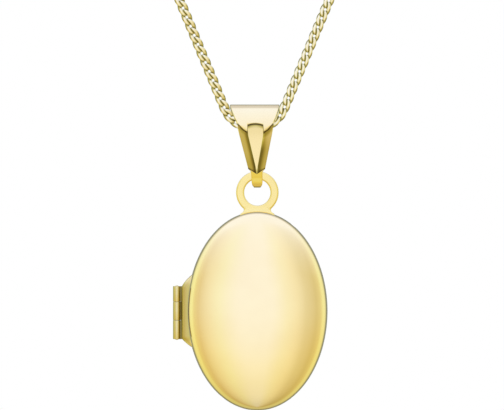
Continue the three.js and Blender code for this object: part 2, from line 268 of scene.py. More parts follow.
def film_material():
    material, tree, shader = principled("clear_film")
    shader.inputs["Alpha"].default_value = 0.16
    shader.inputs["IOR"].default_value = 1.49
    tint = ramp(tree, noise(tree, 0.5), [(0.4, (0.93, 0.95, 0.95)), (0.6, (0.98, 0.99, 0.99))])
    surface(tree, shader, tint, remap(tree, noise(tree, 2.0), 0.02, 0.07))
    return material


def card_material():
    material, tree, shader = principled("blank_card")
    fibres = noise(tree, 7.0, 6.0, (1, 1, 0.35))
    tint = ramp(tree, fibres, [(0.35, (0.80, 0.76, 0.66)), (0.65, (0.90, 0.87, 0.78))])
    surface(tree, shader, tint, remap(tree, fibres, 0.75, 0.92))
    bump(tree, shader, fibres, 0.4)
    return material


# ---------- mesh building ----------
def grid(rows, close_rows=False, close_columns=True):
    """Points and quads of a surface given as equally long rows of points."""
    count, width = len(rows), len(rows[0])
    points = [point for row in rows for point in row]
    quads = []
    for r in range(count if close_rows else count - 1):
        here, there = r * width, (r + 1) % count * width
        for c in range(width if close_columns else width - 1):
            d = (c + 1) % width
            quads.append((here + c, here + d, there + d, there + c))
    return points, quads


def merged(*shapes):
    """Several shapes as one, with their shades when they have them."""
    points, faces, shades = [], [], []
    for more_points, more_faces, *more_shades in shapes:
        start = len(points)
        points += more_points
        faces += [tuple(start + i for i in face) for face in more_faces]
        if more_shades:
            shades += more_shades[0]
    return (points, faces, shades) if shades else (points, faces)


def to_mesh(name, shape, scale=1.0, place=Matrix()):
    """A mesh from points, faces and, if given, each point's shade from -1 (warm) to 1 (dark)."""
    points, faces, *shades = shape
    mesh = bpy.data.meshes.new(name)
    mesh.from_pydata([tuple((place @ Vector(p)) * scale) for p in points], [], faces)
    if shades:
        levels = [NEUTRAL * (1 + s) if s < 0 else NEUTRAL + (1 - NEUTRAL) * s for s in shades[0]]
        mesh.attributes.new("shade", "FLOAT", "POINT").data.foreach_set("value", levels)
    work = bmesh.new()
    work.from_mesh(mesh)
    bmesh.ops.remove_doubles(work, verts=work.verts, dist=WELD * scale)
    bmesh.ops.recalc_face_normals(work, faces=work.faces)
    work.to_mesh(mesh)
    work.free()
    return mesh


def carve(shape, *cutters):
    """The shape with the cutters taken out of it."""
    body = bpy.data.objects.new("body", to_mesh("body", shape))
    bpy.context.collection.objects.link(body)
    tools = []
    for cutter in cutters:
        tool = bpy.data.objects.new("tool", to_mesh("tool", cutter))
        bpy.context.collection.objects.link(tool)
        cut = body.modifiers.new("cut", "BOOLEAN")
        cut.operation, cut.solver, cut.object = "DIFFERENCE", "EXACT", tool
        tools.append(tool)
    done = body.evaluated_get(bpy.context.evaluated_depsgraph_get()).to_mesh()
    points = [tuple(v.co) for v in done.vertices]
    faces = [tuple(p.vertices) for p in done.polygons]
    for spare in [body, *tools]:
        bpy.data.objects.remove(spare)
    return points, faces


def make(name, shape, body, material, stands_for, place=Matrix(), sharp=35):
    """Adds a finished piece that rides on a body, or is left where it is when given more than one, and
    stands for CAD nodes.
    """
    mesh = to_mesh(name, shape, MM, place)
    mesh.shade_smooth()
    mesh.set_sharp_from_angle(angle=math.radians(sharp))
    mesh.materials.append(material)
    piece = bpy.data.objects.new(name, mesh)
    bpy.context.collection.objects.link(piece)
    if isinstance(body, str):
        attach(piece, body)
    else:
        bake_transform(piece)
    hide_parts(*stands_for)
    return piece


def plain_in_mirrors(piece):
    """Keeps a small part out of its neighbours' polish, where it would only show as a blot."""
    piece.visible_glossy = False
    return piece


def smooth_step(low, high, value):
    """0 at or below low, 1 at or above high, and an even S between; turned round if low is higher."""
    t = min(max((value - low) / (high - low), 0), 1)
    return t * t * (3 - 2 * t)


def around(count):
    """The angles of evenly spaced points round a full turn."""
    return [2 * math.pi * k / count for k in range(count)]


def polar(radius, angle):
    """A point at a distance and an angle from the origin."""
    return radius * math.cos(angle), radius * math.sin(angle)


def along(points, x):
    """Straight-line interpolation through (x, y) points with x rising."""
    for (x0, y0), (x1, y1) in zip(points, points[1:]):
        if x <= x1:
            return y0 + (y1 - y0) * max(x - x0, 0) / (x1 - x0)
    return points[-1][1]


def tube(path, radius, sides=16, closed=False):
    """A round tube along points in order, with capped ends when it is open."""
    count = len(path)
    rows = []
    up = None
    for i, point in enumerate(path):
        if closed:
            before, after = path[i - 1], path[(i + 1) % count]
        else:
            before, after = path[max(i - 1, 0)], path[min(i + 1, count - 1)]
        ahead = (Vector(after) - Vector(before)).normalized()
        if up is None:
            up = ahead.orthogonal()
        up = (up - ahead * up.dot(ahead)).normalized()
        side = ahead.cross(up)
        r = radius(i) if callable(radius) else radius
        rows.append([Vector(point) + (up * math.cos(a) + side * math.sin(a)) * r for a in around(sides)])
    if closed:
        return grid(rows, close_rows=True)
    first, last = Vector(path[0]), Vector(path[-1])
    return grid([[first] * sides, *rows, [last] * sides])


def arc_points(radius, start, stop, steps):
    """Points of a circle's arc in the XZ plane; angles in degrees from +X."""
    points = []
    for i in range(steps + 1):
        angle = math.radians(start + (stop - start) * i / steps)
        points.append(Vector((radius * math.cos(angle), 0, radius * math.sin(angle))))
    return points


def turned(profile, segments=48, place=Matrix()):
    """A solid of revolution about Z from (radius, z) pairs that start and end on the axis."""
    rows = []
    for r, z in profile:
        rows.append([place @ Vector((r * math.cos(a), r * math.sin(a), z)) for a in around(segments)])
    return grid(rows)


# ---------- locket ----------
def oval(levels, side, segments=176):
    """Rings of ellipses. A level is (half width, half height, depth); depth runs out from the seam."""
    rows = []
    for a, b, depth in levels:
        rows.append([(a * math.cos(t), -side * depth, b * math.sin(t)) for t in around(segments)])
    return rows


def inset(t, depth):
    """A level of the locket's outline moved in by t."""
    return (OVAL_A - t, OVAL_B - t, depth)


def dome(half_width, half_height, depth, stop, steps):
    """Levels of a dome from its middle out to where it meets its wall."""
    levels = []
    reach_end = math.sin(stop) ** DOME_POWER
    for i in range(steps + 1):
        u = stop * (i / steps) ** 0.9
        reach = math.sin(u) ** DOME_POWER / reach_end if i else 0.0
        levels.append((half_width * reach, half_height * reach, WALL_DEPTH + depth * math.cos(u)))
    return levels


def cover(side):
    """One half of the locket: a domed shell whose rim leans in a little from the seam."""
    shoulder = WALL_DEPTH + DOME_DEPTH * math.cos(DOME_STOP)
    lean = DRAFT * (shoulder - SEAM)
    outside = dome(OVAL_A - lean, OVAL_B - lean, DOME_DEPTH, DOME_STOP, 44)
    inside = dome(OVAL_A - SHEET, OVAL_B - SHEET, DOME_DEPTH - SHEET, math.pi / 2, 26)
    straight, edge, nick = 0.4, 0.04, 0.012
    rim = [
        inset(DRAFT * straight, SEAM + straight),
        inset(DRAFT * edge, SEAM + edge),
        inset(nick, SEAM + nick),
        inset(edge, SEAM),
        inset(SHEET - edge, SEAM),
        inset(SHEET, SEAM + edge),
    ]
    shell = grid(oval([*outside, *rim, *reversed(inside)], side))
    return carve(shell, notch(1), notch(-1))


def notch(sign):
    """The cutter of one pry notch, across the seam."""
    middle = Vector((NOTCH_AT[0] * OVAL_A * sign, 0, NOTCH_AT[1] * OVAL_B * sign))
    outward = Vector((middle.x / OVAL_A**2, 0, middle.z / OVAL_B**2)).normalized()
    through = Vector((0, 1, 0))
    across = outward.cross(through)
    rows = []
    for step, size in ((-NOTCH_REACH, 0.6), (-NOTCH_REACH * 0.6, 1.0), (NOTCH_REACH, 1.0)):
        centre = middle + outward * step
        row = []
        for angle in around(24):
            spread = across * (1.5 * math.cos(angle)) + through * math.sin(angle)
            row.append(centre + spread * NOTCH_R * size)
        rows.append(row)
    inner, outer = middle - outward * NOTCH_REACH, middle + outward * NOTCH_REACH
    return grid([[inner] * 24, *rows, [outer] * 24])


def snap_rim():
    """The thin lip on the back half that the front half snaps over, with a bead near its edge."""
    out, inn = SHEET + 0.05, SHEET + 0.27
    levels = [
        inset(out, -0.75), inset(out, 0.2), inset(out - 0.02, 0.27), inset(out, 0.34),
        inset(out + 0.05, 0.43), inset(out + 0.11, 0.45), inset(inn - 0.04, 0.43),
        inset(inn, 0.36), inset(inn, -0.75),
    ]
    return grid(oval(levels, FRONT), close_rows=True)


def photo_frame(side, seat):
    """A pressed oval bezel with a rounded face and a fine step down to the film."""
    outer = 0.5 if side == FRONT else 0.7
    low = seat + 0.35
    levels = [
        inset(outer, low - 0.06), inset(outer, seat + 0.1), inset(outer + 0.04, seat + 0.03),
        inset(outer + 0.12, seat), inset(1.0, seat + 0.01), inset(1.08, seat + 0.05),
        inset(1.12, seat + 0.13), inset(1.18, seat + 0.15), inset(1.27, seat + 0.17),
        inset(1.3, seat + 0.22), inset(1.3, low), inset(outer + 0.2, low),
    ]
    return grid(oval(levels, side), close_rows=True)


def oval_sheet(edge, low, high, side):
    """A thin oval sheet with softened edges."""
    a, b = OVAL_A - edge, OVAL_B - edge
    soft = 0.03
    levels = [
        (0, 0, low), (a * 0.5, b * 0.5, low), (a - soft, b - soft, low), (a, b, low + soft),
        (a, b, high - soft), (a - soft, b - soft, high), (a * 0.5, b * 0.5, high), (0, 0, high),
    ]
    return grid(oval(levels, side, 120))


def oval_x(z, grow):
    """Half width of the locket's oval at a height, with the oval grown by a margin."""
    return (OVAL_A + grow) * math.sqrt(max(1 - (z / (OVAL_B + grow)) ** 2, 0))


def leaf_section(z):
    """The leaf's outline as (x, depth) at a height, and how far it has flared out onto the rim."""
    edge = HINGE_X + KNUCKLE_R + GAP
    corner = HINGE_TOP if z > 0 else -HINGE_BOTTOM
    flare = max(abs(z) - corner + LEAF_CORNER, 0) / (LEAF_FOOT - corner + LEAF_CORNER)
    wall = -oval_x(z, 0)
    left, right = edge + (wall + 0.01 - edge) * flare**1.2, wall + 0.12
    low = SEAM + 0.03
    soft = min(0.05, (right - left) * 0.3)
    top = [(left + (right - left) * t, high - 0.1 * flare) for t, high in LEAF_RISE]
    return [(left, low + soft), *top, (right, low), (left + soft, low)], flare


def hinge_leaf(side):
    """A bracket sloping up from the knuckles to the rim, flared where it is soldered to it."""
    rows, shades = [], []
    for i in range(LEAF_STEPS + 1):
        z = LEAF_FOOT * math.sin(math.pi * (i / LEAF_STEPS - 0.5))
        section, flare = leaf_section(z)
        rows.append([(x, -side * y, z) for x, y in section])
        left, right = section[0][0], section[-2][0]
        # An olive tone over the leaf, with painted shade darkest along the edge beside the knuckles and a
        # little at the rim edge; all of it fades out on the flares.
        for x, _ in section:
            t = (x - left) / (right - left)
            inner = 0.34 + 0.4 * (1 - smooth_step(0.02, 0.2, t)) + 0.12 * smooth_step(0.6, 1.0, t)
            shades.append(inner * (1 - 0.75 * smooth_step(0.1, 0.7, flare)))
    width = len(rows[0])
    caps = [[tuple(sum((Vector(p) for p in row), Vector()) / width)] * width for row in (rows[0], rows[-1])]
    shades = [shades[0]] * width + shades + [shades[-1]] * width
    return (*grid([caps[0], *rows, caps[1]]), shades)


def knuckle_outline():
    """A knuckle's outline about the pin, with the web that runs off it to join its leaf."""
    reach, over, under, root, soft = 0.46, 0.16, 0.05, 0.38, 0.02
    steps = 56
    first = math.asin(-under / KNUCKLE_R)
    last = math.asin(-over / KNUCKLE_R) + 2 * math.pi
    outline = []
    for k in range(steps + 1):
        outline.append(polar(KNUCKLE_R, first + (last - first) * k / steps))
    web = [(root, -over), (reach - soft, -over), (reach, -over + soft), (reach, -under - soft),
           (reach - soft, -under), (root, -under)]
    return outline + web


def knuckle_ring(outline, side, z, shrink=0.0):
    """The outline at a height, drawn in towards the pin by shrink."""
    made = []
    for x, y in outline:
        size = math.hypot(x, y)
        scale = (size - shrink) / size
        made.append((HINGE_X + x * scale, side * y * scale, z))
    return made


def knuckle(low, high, side):
    """A rolled barrel: a tube whose sheet runs off at a tangent to join its leaf."""
    outline = knuckle_outline()
    hole = [polar(PIN_R + GAP, math.atan2(y, x)) for x, y in outline]
    soft, bevel, widen, sink = 0.035, 0.0105, -0.015, 0.02
    outer = [(low, soft), (low + bevel, bevel), (low + soft, 0), (high - soft, 0), (high - bevel, bevel),
             (high, soft)]
    inner = [(high, widen), (high - sink, 0), (low + sink, 0), (low, widen)]
    rows = [knuckle_ring(outline, side, z, shrink) for z, shrink in outer]
    rows += [knuckle_ring(hole, side, z, shrink) for z, shrink in inner]
    # An even slight olive tone, with painted shade greying the left edge and darkening the right flank
    # beside the leaf.
    shades = []
    for row in rows:
        for x, _, _ in row:
            across = (x - HINGE_X) / KNUCKLE_R
            left, right = 1 - smooth_step(-0.95, -0.35, across), smooth_step(0.3, 0.62, across)
            shades.append(0.2 + 0.3 * left + 0.6 * right)
    return (*grid(rows, close_rows=True), shades)


def hinge_pin():
    """A plain rod with domed ends."""
    bottom, top = HINGE_BOTTOM - PIN_HEAD, HINGE_TOP + PIN_HEAD
    profile = []
    for i in range(7):
        angle = math.pi / 2 * i / 6
        profile.append((PIN_R * math.sin(angle), 0.05 * (1 - math.cos(angle))))
    lower = [(r, bottom + z) for r, z in profile]
    upper = [(r, top - z) for r, z in reversed(profile)]
    points, faces = turned([*lower, *upper], 32, Matrix.Translation((HINGE_X, 0, 0)))
    return points, faces, [0.2] * len(points)


def oval_top(x):
    """Height of the oval's outline, with the usual gap, at a place across it."""
    return (OVAL_B + GAP) * math.sqrt(1 - (x / (OVAL_A + GAP)) ** 2)


def eye_outline():
    """The eye's outline as (x, z), and for each point the angle of its partner on the hole."""
    outer, partners = [], []

    def note(x, z, angle):
        outer.append((x, z))
        partners.append(math.radians(angle))

    for i in range(RING_STEPS):
        angle = EYE_JOIN + (180 - 2 * EYE_JOIN) * i / RING_STEPS
        x, up = polar(EYE_OUTER, math.radians(angle))
        note(x, EYE_HEIGHT + up, angle)
    x, up = polar(EYE_OUTER, math.radians(EYE_JOIN))
    start = Vector((x, EYE_HEIGHT + up))
    bend = Vector((EYE_WAIST, EYE_HEIGHT - EYE_WAIST_DROP))
    foot = Vector((EYE_FOOT, oval_top(EYE_FOOT)))
    neck = []
    for i in range(NECK_STEPS):
        t = i / NECK_STEPS
        neck.append(start * (1 - t) ** 2 + bend * 2 * t * (1 - t) + foot * t * t)
    for i, p in enumerate(neck):
        note(-p.x, p.y, 180 - EYE_JOIN + 12 * i / NECK_STEPS)
    for i in range(FOOT_STEPS):
        x = -EYE_FOOT + 2 * EYE_FOOT * i / FOOT_STEPS
        note(x, oval_top(x), 240 + 60 * i / FOOT_STEPS)
    note(foot.x, foot.y, 300)
    for i in range(NECK_STEPS - 1, 0, -1):
        note(neck[i].x, neck[i].y, 312 - 12 * i / NECK_STEPS)
    return outer, partners


def eye_swell(z):
    """How many times deeper the front is at a height, as it thickens towards the foot."""
    return 1 + SWELL * (1 - smooth_step(SWELL_LOW, SWELL_HIGH, z))


def eye_ring(outline, level, inward):
    """The outline at one depth, moved in, with a foot that follows the leaning rim below it."""
    made = []
    foot_z = oval_top(EYE_FOOT)
    for k, (x, z) in enumerate(outline):
        y = level * eye_swell(z) if level < 0 else level
        if k in EYE_BOTTOM:
            drop = 0.02 - GAP - DRAFT * max(-y - SEAM, 0) if y < SEAM else -0.2
            made.append((x, y, z + drop))
            continue
        ahead = Vector(outline[(k + 1) % len(outline)]) - Vector(outline[k - 1])
        normal = Vector((ahead.y, -ahead.x)).normalized()
        shift = inward * smooth_step(foot_z - 0.05, foot_z + 0.3, z)
        made.append((x - normal.x * shift, y, z - normal.y * shift))
    return made


def eye_bore(partners, y, grow):
    """The hole's edge at one depth, a little wider near the faces."""
    hole = [polar(EYE_HOLE, angle) for angle in partners]
    scale = (EYE_HOLE + grow) / EYE_HOLE
    return [(x * scale, y, EYE_HEIGHT + z * scale) for x, z in hole]


def hanging_eye():
    """A flat ring with softened edges whose neck flares out onto the top of the oval."""
    outer, partners = eye_outline()
    turns = [math.radians(18 * i) for i in range(6)]
    edge = [(-EYE_HALF_DEPTH + EYE_SOFT * (1 - math.sin(t)), EYE_SOFT * (1 - math.cos(t))) for t in turns]
    edge.append((-EYE_HALF_DEPTH, EYE_SOFT + 0.03))
    outside = [eye_ring(outer, y, shift) for y, shift in reversed(edge)]
    outside += [eye_ring(outer, -y, shift) for y, shift in edge]
    hollow = [eye_bore(partners, -y, shift) for y, shift in reversed(edge)]
    hollow += [eye_bore(partners, y, shift) for y, shift in edge]
    face = []
    for t in (0.12, 0.25, 0.4, 0.55, 0.7, 0.85):
        row = []
        for start, stop in zip(hollow[-1], outside[0]):
            x, _, z = Vector(start).lerp(Vector(stop), t)
            row.append((x, -EYE_HALF_DEPTH * eye_swell(z), z))
        face.append(row)
    return grid([*outside, *hollow, *face], close_rows=True)


# ---------- bail ----------
def bail_station(kind, value):
    """A point (y, z) of the bail's outer side line with its outward direction and sheet thickness.

    The value is an angle in degrees on the crown and the foot, and a height on the front and back.
    """
    if kind == "crown":
        angle = math.radians(value)
        y, z = -CROWN_R * math.cos(angle), CROWN_R * math.sin(angle)
        return y, z, (-math.cos(angle), math.sin(angle)), CROWN_SHEET
    if kind == "foot":
        angle = math.radians(value)
        y, z = -FOOT_R * math.cos(angle), -FOOT_DROP + FOOT_R * math.sin(angle)
        return y, z, (-math.cos(angle), math.sin(angle)), FOOT_SHEET
    t = (value - CROWN_END) / (FOOT_START - CROWN_END)
    y = -(CROWN_R + (FOOT_R - CROWN_R) * t) * math.cos(LEAN)
    face = 1 if kind == "front" else -1
    return face * y, value, (-face * math.cos(LEAN), -math.sin(LEAN)), CROWN_SHEET + 0.1 * t


def front_at(z):
    """The front's outer side line at a height."""
    if z > CROWN_END:
        return bail_station("crown", math.degrees(math.asin(z / CROWN_R)))
    if z > FOOT_START:
        return bail_station("front", z)
    return bail_station("foot", math.degrees(math.asin((z + FOOT_DROP) / FOOT_R)))


def bail_columns(z):
    """Places across the bail: the centre facet takes the middle ones, the side facets the rest."""
    width, ridge = along(HALF_WIDTH, z), along(RIDGE, z)
    ridge = min(ridge, width * 0.6)
    lip = min(0.012, ridge * 0.3)
    edge = 0.05
    half = [(ridge - lip) * t for t in (0, 0.2, 0.4, 0.6, 0.8, 0.92, 1.0)]
    wide = width - edge - ridge - lip
    half += [ridge + lip + wide * t for t in (0, 0.05, 0.1, 0.16, 0.24, 0.34, 0.46, 0.6, 0.75, 0.9, 1.0)]
    return [-x for x in reversed(half)] + half[1:], ridge, width


def crown_edge(x, ridge, width):
    """Height of the crease under the crown: an arch over the centre facet, a lobe on each side."""
    if abs(x) < ridge:
        return 0.12 - 0.14 * (x / ridge) ** 2
    t = (abs(x) - ridge) / (width - ridge)
    return -0.6 + 0.77 * t**1.5


def tip_edge(x):
    """Height of the V edge where the facets end over the foot loop."""
    return -3.8 - 0.45 * max(1 - abs(x) / 0.72, 0)


def facet_depth(x, _z, ridge):
    """How far the faceted front is sunk below the plain strip."""
    beyond = abs(x) - ridge
    if beyond <= 0:
        return FACET_SINK
    return FACET_SINK + 0.13 * (1 - math.exp(-beyond / 0.09)) + 0.30 * beyond


def tongue_depth(_x, z, _ridge):
    """How far the strip round the foot is sunk, fading out towards its lowest point."""
    return 0.30 * smooth_step(-5.2, -4.6, z)


def even_depth(sunk):
    return lambda x, z, ridge: sunk


def facet_shade(x, z, ridge, width, crease):
    """Painted shade on the faceted front: deepest in the crease under the crown and beside the ridges,
    heavier on the left facet than the right, and darker lower down and by the V edge.
    """
    below = crease - z
    near_crease = 1 - smooth_step(0.14, 0.28, below)
    beyond = (abs(x) - ridge) / (width - ridge)
    if beyond <= 0:
        tip = 0.6 * (1 - smooth_step(0.15, 0.6, z - tip_edge(x)))
        return max(near_crease, tip, 0.1 * (1 - smooth_step(0.2, 1.8, below)))
    if x < 0:
        side = 0.36 + 0.48 * (1 - smooth_step(0.08, 0.55, beyond)) + 0.12 * smooth_step(-2.2, -3.6, z)
    else:
        low = smooth_step(1.0, 2.4, -z)
        side = 0.13 + 0.22 * low + (0.22 + 0.3 * low) * (1 - smooth_step(0.1, 0.8, beyond))
    tip = 0.5 * (1 - smooth_step(0.03, 0.15, z - tip_edge(x)))
    return min(max(near_crease, side + tip, 0.6 * (1 - smooth_step(0.3, 1.0, below))), 1)


def level(z):
    """A line straight across the strip."""
    return lambda x, ridge, width: z


def between(start_at, stop_at, t):
    """A line part of the way from one line across the strip to another."""
    return lambda x, ridge, width: start_at(x, ridge, width) * (1 - t) + stop_at(x, ridge, width) * t


def bail_row(width_at, depth_at, station=None, line=None, shade_at=None):
    """One row round the strip's section and its shades, at a station or along a line on the front."""
    xs, ridge, width = bail_columns(width_at)
    outer, inner, dark = [], [], []
    for x in xs:
        y, z, (ny, nz), sheet = front_at(line(x, ridge, width)) if line else station
        sunk = depth_at(x, z, ridge)
        shade = 0.0
        if shade_at:
            shade = shade_at(x, z, ridge, width, crown_edge(x, ridge, width))
        elif z < -3.7:
            shade = -smooth_step(-0.2, 0.9, -y)
        dark.append(shade)
        outer.append((x, y - ny * sunk, z - nz * sunk))
        deep = max(sheet, sunk + 0.17)
        inner.append((x, y - ny * deep, z - nz * deep))
    sides = []
    for x, k in ((width, -1), (-width, 0)):
        a, b = Vector(outer[k]), Vector(inner[k])
        sides.append([(x, *((a + (b - a) * t)[1:])) for t in (0.12, 0.88)])
    row = [*outer, *sides[0], *reversed(inner), *reversed(sides[1])]
    return row, [*dark, dark[-1], dark[-1], *reversed(dark), dark[0], dark[0]]


def plain_rows():
    """Over the crown, down the back and round the foot to where the tongue ends in front."""
    rows = []
    start, end = math.degrees(math.asin(FRONT_EDGE / CROWN_R)), 180 + math.degrees(LEAN)
    for i in range(47):
        station = bail_station("crown", start + (end - start) * i / 46)
        rows.append(bail_row(max(station[1], -0.2), even_depth(0.0), station))
    for i in range(1, 30):
        z = CROWN_END + (FOOT_START - CROWN_END) * i / 30
        rows.append(bail_row(z, even_depth(0.0), bail_station("back", z)))
    for i in range(31):
        station = bail_station("foot", end + (180 - 2 * math.degrees(LEAN)) * i / 30)
        rows.append(bail_row(station[1], tongue_depth, station))
    for i in range(1, 7):
        z = FOOT_START + (TONGUE_TOP - FOOT_START) * i / 7
        rows.append(bail_row(z, tongue_depth, front_at(z)))
    return rows


def front_rows():
    """Up the front: the V edge, the three facets, the crease, and the lip back to the crown."""
    rows = []
    tip = lambda x, ridge, width: tip_edge(x)
    low, high, top = level(FACET_LOW), level(FACET_HIGH), level(FRONT_EDGE)
    for t in (0.0, 0.3, 0.6, 0.85, 0.97):
        rows.append(bail_row(-4.1, tongue_depth, line=between(level(TONGUE_TOP), tip, t)))
    for t in (0.02, 0.2, 0.5, 0.8):
        rows.append(bail_row(TIP_LEVEL + 0.2 * t, facet_depth, None, between(tip, low, t), facet_shade))
    for i in range(41):
        z = FACET_LOW + (FACET_HIGH - FACET_LOW) * i / 41
        rows.append(bail_row(z, facet_depth, None, level(z), facet_shade))
    for t in (0.0, 0.2, 0.4, 0.6, 0.8, 0.92, 0.985):
        line = between(high, crown_edge, t)
        rows.append(bail_row(FACET_HIGH + 0.75 * t, facet_depth, None, line, facet_shade))
    groove = lambda x, z, ridge: facet_depth(x, z, ridge) + 0.05
    rows.append(bail_row(-0.24, groove, None, between(high, crown_edge, 0.995), facet_shade))
    rows.append(bail_row(CREASE_LEVEL, even_depth(0.05), line=between(crown_edge, top, 0.015)))
    for t in (0.05, 0.12, 0.25, 0.45, 0.65, 0.85):
        shallow = even_depth(0.02 * max(0.12 - t, 0) / 0.07)
        rows.append(bail_row(CREASE_LEVEL + 0.83 * t, shallow, line=between(crown_edge, top, t)))
    return rows


def bail():
    """One strip folded into a loop: plain crown and back, three facets in front, a narrow foot."""
    rows = [*plain_rows(), *front_rows()]
    shades = [shade for _, dark in rows for shade in dark]
    return (*grid([row for row, _ in rows], close_rows=True), shades)


# ---------- chain ----------
def curve_through(points, steps):
    """A centripetal Catmull-Rom curve through points, with even steps in each stretch."""
    points = [Vector(p) for p in points]
    points = [points[0] * 2 - points[1], *points, points[-1] * 2 - points[-2]]
    made = []
    for p0, p1, p2, p3 in zip(points, points[1:], points[2:], points[3:]):
        t0 = 0.0
        t1 = t0 + (p1 - p0).length ** 0.5
        t2 = t1 + (p2 - p1).length ** 0.5
        t3 = t2 + (p3 - p2).length ** 0.5
        for i in range(steps):
            t = t1 + (t2 - t1) * i / steps
            a1 = p0 * ((t1 - t) / (t1 - t0)) + p1 * ((t - t0) / (t1 - t0))
            a2 = p1 * ((t2 - t) / (t2 - t1)) + p2 * ((t - t1) / (t2 - t1))
            a3 = p2 * ((t3 - t) / (t3 - t2)) + p3 * ((t - t2) / (t3 - t2))
            b1 = a1 * ((t2 - t) / (t2 - t0)) + a2 * ((t - t0) / (t2 - t0))
            b2 = a2 * ((t3 - t) / (t3 - t1)) + a3 * ((t - t1) / (t3 - t1))
            made.append(b1 * ((t2 - t) / (t2 - t1)) + b2 * ((t - t1) / (t2 - t1)))
    return [*made, points[-2]]


def chain_half(end_x):
    """Half of the chain, from under the bail up round the peg to one end at the clasp."""
    tilt = math.atan(STRAND_SLOPE)
    strand = (COIL_R * math.cos(tilt), HALF_TURNS * COIL_PITCH, -COIL_R * math.sin(tilt))
    points = curve_through([*RUN, strand], 12)
    end = Vector((end_x, 0, END_HEIGHT))
    leave = math.atan2(end.z, end.x) - math.acos(COIL_R / math.hypot(end.x, end.z))
    wound = 2 * math.pi * WHOLE_TURNS
    start, stop, middle = -tilt, leave + wound, math.pi / 2 + wound
    for i in range(1, COIL_STEPS + 1):
        angle = start + (stop - start) * i / COIL_STEPS
        y = COIL_PITCH * (middle - angle) / (2 * math.pi)
        points.append(Vector((COIL_R * math.cos(angle), y, COIL_R * math.sin(angle))))
    last = points[-1]
    return [*points, *[last.lerp(end, t) for t in (0.25, 0.5, 0.75, 1.0)]]


def chain_path():
    right = chain_half(RIGHT_END_X)
    left = [Vector((-p.x, -p.y, p.z)) for p in chain_half(LEFT_END_X)]
    return [*reversed(left[1:]), *right]


def spaced(path, pitch):
    """Points and directions at an even pitch along a path, and the path's length."""
    lengths = [0.0]
    for a, b in zip(path, path[1:]):
        lengths.append(lengths[-1] + (b - a).length)
    total = lengths[-1]
    count = round(total / pitch)
    stops, k = [], 0
    for i in range(count):
        at = total * (i + 0.5) / count
        while lengths[k + 1] < at:
            k += 1
        a, b = path[k], path[k + 1]
        stops.append((a.lerp(b, (at - lengths[k]) / (lengths[k + 1] - lengths[k])), (b - a).normalized()))
    return stops, total


def link_template(steps, sides):
    """One link about its centre, as (ahead, across, through): round wire, twisted and ground flat."""
    path = []
    for i in range(steps):
        turn = 2 * math.pi * i / steps
        twist = -math.pi / 4 * math.cos(turn)
        reach = LINK_B * math.sin(turn)
        path.append(Vector((LINK_A * math.cos(turn), reach * math.cos(twist), reach * math.sin(twist))))
    points, quads = tube(path, LINK_WIRE, sides, closed=True)
    neighbours = [q + Vector((step, 0, 0)) for step in (-LINK_PITCH, LINK_PITCH) for q in path]
    cut, shades = [], []
    for i, p in enumerate(points):
        middle = path[i // sides]
        # Painted shade: dark where a neighbouring link's wire comes close, and on the outer flanks at the
        # link's middle.
        gap = min((p - q).length for q in neighbours) - LINK_WIRE
        outward = (p - middle).dot(middle.normalized()) / LINK_WIRE
        flank = smooth_step(0.3, 0.85, outward) * smooth_step(0.82, 0.97, abs(middle.y) / LINK_B)
        shades.append(max(1 - smooth_step(0.01, 0.13, gap), 0.9 * flank))
        cut.append(Vector((p.x, p.y, min(max(p.z, -FLAT_CUT), FLAT_CUT))))
    return cut, quads, shades


def placed_link(template, centre, ahead, across):
    """A link at its place, shades included."""
    points, quads, shades = template
    through = ahead.cross(across)
    return [centre + ahead * p.x + across * p.y + through * p.z for p in points], quads, shades


def chain():
    """Every link from one end of the chain to the other, the line they follow and its length.

    The links' flat side faces the front below the peg and turns to lie on it higher up.
    """
    path = chain_path()
    stops, total = spaced(path, LINK_PITCH)
    fine, plain = link_template(28, 12), link_template(16, 6)
    through_peg = Vector((0, 1, 0))
    links = []
    for centre, ahead in stops:
        angle = smooth_step(-10.6, -4.2, centre.z) * math.pi / 2
        flat = through_peg.cross(ahead).normalized()
        along_peg = (through_peg - ahead * ahead.y).normalized()
        across = (flat * math.cos(angle) + along_peg * math.sin(angle)).normalized()
        links.append(placed_link(fine if centre.z < FINE_BELOW else plain, centre, ahead, across))
    return merged(*links), path, total


def add_chain(material):
    shape, path, total = chain()
    piece = make(
        "chain", shape, "chain", material,
        ["chain_run", "chain_coil", "chain_end_left", "chain_end_right"], sharp=50,
    )
    return piece, [tuple(p * MM) for p in path], total * MM


# ---------- clasp ----------
def clasp_section(angle, radius, sides=28):
    """A circle of points across the clasp's ring."""
    turn = math.radians(angle)
    out = Vector((math.cos(turn), 0, math.sin(turn)))
    through = Vector((0, 1, 0))
    row = []
    for a in around(sides):
        row.append(out * (CLASP_R + radius * math.cos(a)) + through * (radius * math.sin(a)))
    return row


def clasp_body():
    """A hollow ring with a mouth, and a slot for the lever."""
    steps = 96
    start, stop = MOUTH[1], MOUTH[0] + 360
    lip = 2.0
    rim, rounded = CLASP_TUBE - 0.05, CLASP_TUBE - 0.015
    shell = [clasp_section(start, rim), clasp_section(start + lip * 0.4, rounded)]
    for i in range(steps + 1):
        shell.append(clasp_section(start + lip + (stop - start - 2 * lip) * i / steps, CLASP_TUBE))
    shell += [clasp_section(stop - lip * 0.4, rounded), clasp_section(stop, rim)]
    for i in range(steps + 1):
        shell.append(clasp_section(stop + (start - stop) * i / steps, CLASP_BORE))
    slot_path = arc_points(CLASP_R + 0.36, LEVER - 6, LEVER + TRAVEL + 6, 24)
    return carve(grid(shell, close_rows=True), tube(slot_path, 0.18, 20))


